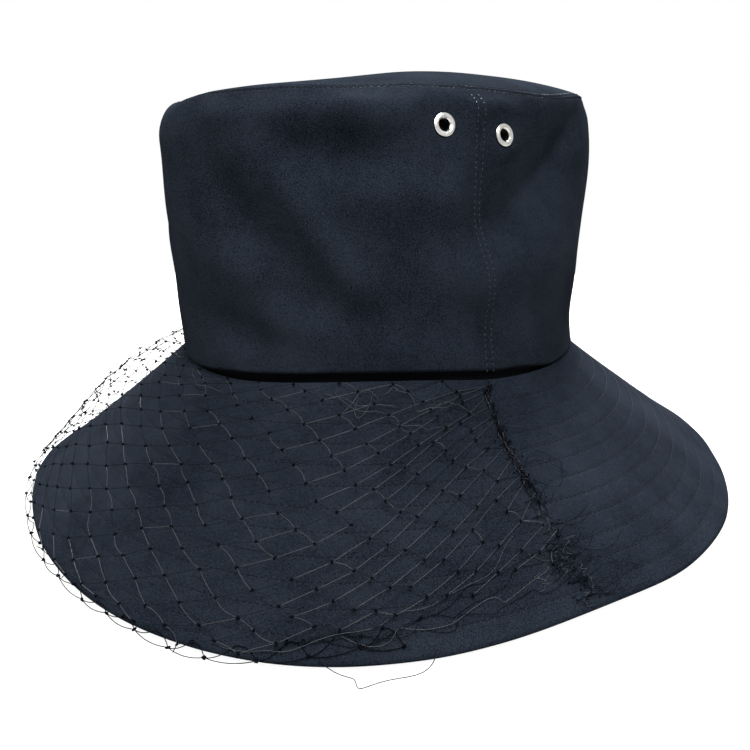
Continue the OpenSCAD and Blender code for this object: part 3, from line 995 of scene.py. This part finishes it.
def relax(points, pairs, pinned, steps=160):
    """Pulls every strand towards its own length while the net keeps off the brim and the ground."""
    tree = collider()
    rest = STRAND * (1 + rng.normal(0, 0.04, len(pairs)))
    home = points.copy()
    free = ~pinned[:, None]
    count = np.maximum(1, np.bincount(pairs.ravel(), minlength=len(points)))[:, None]
    for step in range(steps):
        span = points[pairs[:, 1]] - points[pairs[:, 0]]
        length = np.linalg.norm(span, axis=-1, keepdims=True)
        excess = length - rest[:, None]
        gain = np.where(excess > 0, 0.9, 0.04)
        move = span / np.maximum(length, 1e-6) * excess * 0.5 * gain
        shift = np.zeros_like(points)
        np.add.at(shift, pairs[:, 0], move)
        np.add.at(shift, pairs[:, 1], -move)
        points = points + np.where(free, shift / count * 1.6, 0)
        points = points + np.where(free, (home - points) * 0.035, 0)
        if step % 2 == 0:
            for k in np.nonzero(~pinned)[0]:
                near, normal, _, _ = tree.find_nearest(Vector(points[k]))
                off = (Vector(points[k]) - near).dot(normal)
                if off < OFF_CLOTH:
                    points[k] = points[k] + np.array(normal) * (OFF_CLOTH - off)
            points = ground_clear(points)
    return points, rest


def strand_paths(points, pairs, rest):
    """Each strand as a slack bow between its two knots."""
    a, b = points[pairs[:, 0]], points[pairs[:, 1]]
    span = np.linalg.norm(b - a, axis=-1)
    slack = np.sqrt(np.maximum(0, (rest / np.maximum(span, 1e-6)) ** 2 - 1) * 0.375) * span
    slack = np.clip(slack * 0.45, 0, 1.3) * rng.uniform(0.3, 1.0, len(pairs))
    slack = slack + np.abs(rng.normal(0, 0.15, len(pairs)))
    direction = unit(rng.normal(0, 1, (len(pairs), 3)) * np.array([1, 1, 0.5]) + np.array([0, 0, 0.35]))
    along = unit(b - a)
    direction = unit(direction - along * (direction * along).sum(-1, keepdims=True))
    share = shares(7)
    bow = np.sin(np.pi * share) * direction[:, None] * slack[:, None, None]
    return ground_clear(mix(a[:, None], b[:, None], share) + bow, 0.25)


def knots_mesh(points, size=0.7, girth=0.36):
    """Each knot as three short crossed beads of thread."""
    parts = []
    share = np.array([-1.0, -0.6, 0.0, 0.6, 1.0])[None, :, None]
    for _ in range(3):
        half = unit(rng.normal(0, 1, points.shape)) * size * rng.uniform(0.75, 1.1, (len(points), 1))
        centre = points + rng.normal(0, 0.12, points.shape)
        beads = centre[:, None] + half[:, None] * share
        parts.append(tubes(beads, girth * np.array([0.4, 0.85, 1, 0.85, 0.4]), 6))
    return merge(parts)


def whiskers(points, length=2.4):
    """Short cut ends of thread at the hem's knots."""
    away = unit((points - SHIFT) * np.array([1, 1, 0]))
    direction = unit(rng.normal(0, 1, points.shape) + away * 1.2)
    size = length * rng.uniform(0.5, 1.3, (len(points), 1, 1))
    return tubes(ground_clear(points[:, None] + direction[:, None] * shares(4) * size, 0.25), 0.17, 5, 0.5)


def hem_chain():
    """The net's edge just outside the brim: knots joined by scallops and tied back over the brim's edge."""
    count, pitch, reach = 26, 5.5, 69.0

    def place(t, s, lift):
        return ground_clear(net_target(t, s, lift), 0.3)

    def halfway(values):
        return (values[1:] + values[:-1]) / 2

    t = -reach + pitch * np.arange(count) + rng.normal(0, 0.6, count)
    edge = 1.0 - 0.10 * smooth(42, 66, np.abs(t))
    out = 0.012 + 0.040 * smooth(28, 60, np.abs(t)) + rng.normal(0, 0.004, count)
    outer = place(t, edge + out, rng.uniform(0.8, 1.6, count))
    inner = place(halfway(t), halfway(edge) - 0.006, np.full(count - 1, 0.7))
    scallop = place(halfway(t), halfway(edge) + halfway(out) + 0.010, np.full(count - 1, 0.9))
    share = shares(9)
    sag = 4 * share * (1 - share)
    paths = []
    for start, end, bend in ((outer[:-1], inner, (scallop - inner) * 0.25),
                             (inner, outer[1:], (scallop - inner) * -0.25),
                             (outer[:-1], outer[1:], scallop - halfway(outer))):
        paths.append(mix(start[:, None], end[:, None], share) + sag * bend[:, None])
    return ground_clear(np.concatenate(paths), 0.25), np.concatenate([outer, inner[::2]])


def loose_end():
    """One long loop of thread that has slipped out below the brim's edge."""
    share = np.linspace(0, 1, 24)
    t = 59 + 13 * share + 1.2 * np.sin(share * 9)
    s = 0.985 + 0.085 * np.sin(np.pi * share) ** 0.7 + 0.006 * np.sin(share * 17)
    return ground_clear(net_target(t, s, np.ones(24)), 0.3)[None]


# Slack threads on the brim: azimuth and share of the brim's width at both ends, and swelling sideways
LOOPS = [
    (50, 0.03, 68, 0.10, 0.03), (52, 0.02, 66, 0.13, 0.04), (56, 0.13, 63, 0.06, -0.05),
    (58, 0.02, 62, 0.02, 0.13), (64, 0.05, 72, 0.10, -0.04), (72, 0.12, 84, 0.05, 0.03),
    (74, 0.14, 86, 0.15, -0.05), (68, 0.17, 80, 0.20, 0.02), (6, 0.02, 22, 0.06, 0.03),
]


def loose_loops(side):
    """Slack double strands curling on the brim just below the foot, by each side seam."""
    parts = []
    share = np.linspace(0, 1, 16)
    for t0, v0, t1, v1, swell in LOOPS:
        t = mix(t0, t1, share) + 0.7 * np.sin(share * 8 + t0)
        v = mix(v0, v1, share) + swell * np.sin(np.pi * share) + 0.006 * np.sin(share * 14)
        high = 0.9 + 1.6 * np.sin(np.pi * share)
        parts.append(tubes(on_brim(side * t, v, high, 0.012, 0.97)[None], 0.12, 5, 0.6))
    return merge(parts)


def hem_bundle(side, strands):
    """The hem near a side seam: strands drawn together, rising to the gathered net."""
    parts = []
    share = np.linspace(0, 1, 32)
    for k in strands:
        t = mix(46.0 + 5 * k, 86.0 + 0.8 * k, share) + 0.8 * np.sin(share * (17 + 3 * k) + k)
        rise = 0.016 * np.sin(share * (10 + 3 * k) + 1.7 * k) + 0.008 * np.sin(share * 31 + k)
        v = mix(0.975 - 0.014 * k, 0.68 + 0.045 * k, share ** 1.8) + rise
        high = 0.8 + 0.7 * np.sin(share * 7 + k) ** 2
        parts.append(tubes(on_brim(side * t, v, high, 0.02)[None], 0.11, 5, 0.7))
    return merge(parts)


net_points, net_rows, net_t, net_fixed, net_pairs = build_net()
net_points, net_rest = relax(net_points, net_pairs, net_fixed | (net_rows == 0))

# Painted light on the net: the strands that cross the light get the lighter, glossier thread, a painted
# highlight, and those that run along it the dull one;
# the knots, the far strands, the edge chain and the cut ends get the near-black thread, painted shade.
# Strands change over at the first azimuth, some are odd ones out, none gets the highlight right of the
# second azimuth, and all get the painted shade right of the third.
CHANGE_T, SHINE_FROM, DARK_PAST, ODD_SHARE = 52, 14, -12, 0.17
ends_t = net_t[net_pairs]
strand_t = ends_t.mean(1)
outgoing = np.abs(ends_t[:, 1]) > np.abs(ends_t[:, 0])
near_front = np.abs(ends_t).mean(1) + rng.normal(0, 7, len(net_pairs)) < CHANGE_T
painted_shine = np.where(near_front, outgoing, ~outgoing)
painted_shine = painted_shine ^ (rng.uniform(0, 1, len(net_pairs)) < ODD_SHARE)
painted_shine &= strand_t + rng.normal(0, 6, len(net_pairs)) > SHINE_FROM
far = ~painted_shine & (strand_t < DARK_PAST)
paths = strand_paths(net_points, net_pairs, net_rest)
chain_paths, chain_knots = hem_chain()

for name, thread, parts in (
        ("veil_net", NET_THREAD_PAINTED_SHINE, [tubes(paths[painted_shine], SHINY_R), loose_loops(1), loose_loops(-1)]),
        ("veil_net_dull", NETTING_DULL, [
            tubes(paths[~painted_shine & ~far], DULL_R), tubes(loose_end(), SLACK_R)]),
        ("veil_net_knots", NET_THREAD_PAINTED_SHADE, [
            tubes(paths[far], FAR_R), knots_mesh(net_points[~net_fixed]),
            tubes(chain_paths, CHAIN_R), knots_mesh(chain_knots, 0.85, 0.42),
            whiskers(net_points[(net_rows == NET_ROWS) & ~net_fixed])])):
    piece = new_object(name, *merge(parts), thread, "net")
    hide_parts("veil_front", "veil_side_left", "veil_side_right")
    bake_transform(piece)


def gather_strands(side):
    """Crumpled strands along a side seam, in one tight line that opens into curls low down."""
    count, steps = 150, 8
    v = rng.uniform(0.01, 0.97, count)
    loose = 0.55 + 1.3 * bell(v - 0.8, 0.1)
    centre = side * 90 + rng.normal(0, 1.3, count) * loose / BRIM_ROUND
    run = rng.uniform(-0.08, 0.08, (count, 1))
    sway = np.cumsum(rng.normal(0, 0.5, (count, steps)), axis=1) * loose[:, None] / BRIM_ROUND
    high = 0.4 + np.abs(np.cumsum(rng.normal(0, 0.4, (count, steps)), axis=1))
    s = v[:, None] + run * np.linspace(0, 1, steps)
    return on_brim(centre[:, None] + sway, s, np.clip(high, 0.3, 2.6), 0.006)


def gather_ends(side):
    """Fine cut ends that curl away from the gathered line, over the brim's back."""
    count = 20
    share = np.linspace(0, 1, 12)
    v = np.sort(rng.uniform(0.05, 0.97, count))[:, None]
    reach = rng.uniform(5, 19, (count, 1)) / BRIM_ROUND
    curl = rng.normal(0, 0.05, (count, 1)) * np.sin(np.pi * share)
    curl = curl + rng.normal(0.0, 0.05, (count, 1)) * share ** 2
    high = 0.4 + rng.uniform(0.3, 2.2, (count, 1)) * np.sin(np.pi * np.clip(share * 0.8, 0, 1))
    return on_brim(side * (90 + share * reach), v + curl, high, 0.01, 0.98)


def gather_tacks(side):
    """Hand stitches over the gathered net."""
    v = np.arange(0.04, 0.96, 0.065)[:, None]
    t = side * 90 + np.linspace(-2.0, 2.0, 6) / BRIM_ROUND + rng.normal(0, 0.3, (len(v), 1))
    high = np.array([0.1, 1.3, 2.1, 2.1, 1.3, 0.1]) + 0 * v
    return skin("brim", t, v + 0 * t, high)


def gather_knots(side):
    t = side * 90 + rng.normal(0, 1.3, 60) / BRIM_ROUND
    return skin("brim", t, rng.uniform(0.02, 0.96, 60), rng.uniform(0.5, 1.8, 60))


for side, side_name in ((1, "left"), (-1, "right")):
    crumpled = gather_strands(side)
    most = np.delete(crumpled, np.s_[::4], axis=0)
    # Most of the gathered net takes the near-black thread, painted shade; a quarter of the crumpled strands
    # and two strands of the hem take the glossy thread, painted highlight.
    for ending, thread, parts in (
            ("net", NET_THREAD_PAINTED_SHINE, [tubes(crumpled[::4], 0.09), hem_bundle(side, (0, 3))]),
            ("net_dull", NET_THREAD_PAINTED_SHADE, [
                tubes(most, 0.11), tubes(gather_ends(side), 0.075, taper=0.6), hem_bundle(side, (1, 2, 4)),
                tubes(gather_tacks(side), 0.14, 6), knots_mesh(gather_knots(side), 0.4, 0.26)])):
        piece = new_object(f"veil_gather_{side_name}_{ending}", *merge(parts), thread, "net")
        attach(piece, "hat")
        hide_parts(f"veil_gather_{side_name}")


# ---- floor, light and camera
WHITE = (1.0, 1.0, 1.0, 1.0)
# In millimetres: the floor lies just under the brim's edge
FLOOR_RADIUS, FLOOR_Z = 750, -0.2
# In metres: where every lamp points
LIT_POINT = (0, 0, 0.09)
# Each lamp's name, place and width in metres, and power in watts
LAMPS = [
    ("key_behind", (-0.74, 0.58, 1.1), 1.0, 184),
    ("key_over_shoulder", (0.83, -0.22, 1.32), 0.8, 70),
    ("fill_front", (-0.15, -0.95, 1.0), 0.8, 19),
]
# The camera's place in metres, its angles in degrees, its focal length in mm and its sideways shift
CAMERA_AT = (0.2890, -0.1510, 0.1419)
CAMERA_ANGLES = (61.65, 16.97, 0.36)
FOCAL_LENGTH, SENSOR_WIDTH, SHIFT_X = 31.16, 36.0, -0.0073


def make_floor():
    """A white table top. It ends out of the lamps' reach, where the white world takes over unseen."""
    around = np.radians(np.arange(0, 360, 3))
    verts = stack(FLOOR_RADIUS * np.cos(around), FLOOR_RADIUS * np.sin(around), FLOOR_Z)
    material = bpy.data.materials.new("floor_white")
    material.use_nodes = True
    principled(node_maker(material), Base_Color=(0.12, 0.12, 0.12, 1), Roughness=0.9,
               Specular_IOR_Level=0.1, Emission_Strength=0.92, Emission_Color=WHITE)
    floor = new_object("floor", verts, [np.arange(len(verts))[None, :]], material, "cotton")
    del floor["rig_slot"]


def make_lamps():
    for name, location, size, power in LAMPS:
        data = bpy.data.lights.new(name, "AREA")
        data.shape = "DISK"
        data.size = size
        data.energy = power
        lamp = bpy.data.objects.new(name, data)
        lamp.location = location
        lamp.rotation_euler = (Vector(LIT_POINT) - Vector(location)).to_track_quat("-Z", "Y").to_euler()
        bpy.context.scene.collection.objects.link(lamp)


def make_world():
    world = bpy.data.worlds.new("studio")
    world.use_nodes = True
    make = node_maker(world)
    white = make("ShaderNodeBackground", {"Color": WHITE, "Strength": 1.0})
    make("ShaderNodeOutputWorld", {"Surface": white.outputs[0]})
    bpy.context.scene.world = world
    bpy.context.scene.view_settings.view_transform = "Standard"


def make_camera():
    """The photograph's viewing angle: from the wearer's left and front, a little above the brim."""
    yaw, pitch, roll = (math.radians(a) for a in CAMERA_ANGLES)
    ahead = Vector((-math.sin(yaw), math.cos(yaw), 0))
    right = Vector((math.cos(yaw), math.sin(yaw), 0))
    forward = ahead * math.cos(pitch) - Vector((0, 0, math.sin(pitch)))
    up = ahead * math.sin(pitch) + Vector((0, 0, math.cos(pitch)))
    right, up = (right * math.cos(roll) + up * math.sin(roll), up * math.cos(roll) - right * math.sin(roll))
    data = bpy.data.cameras.new("camera")
    data.sensor_width = SENSOR_WIDTH
    data.lens = FOCAL_LENGTH
    data.shift_x = SHIFT_X
    data.clip_start = 0.01
    camera = bpy.data.objects.new("camera", data)
    axes = Matrix((right, up, -forward)).transposed().to_4x4()
    axes.translation = Vector(CAMERA_AT)
    camera.matrix_world = axes
    bpy.context.scene.collection.objects.link(camera)
    bpy.context.scene.camera = camera


make_floor()
make_lamps()
make_world()
make_camera()
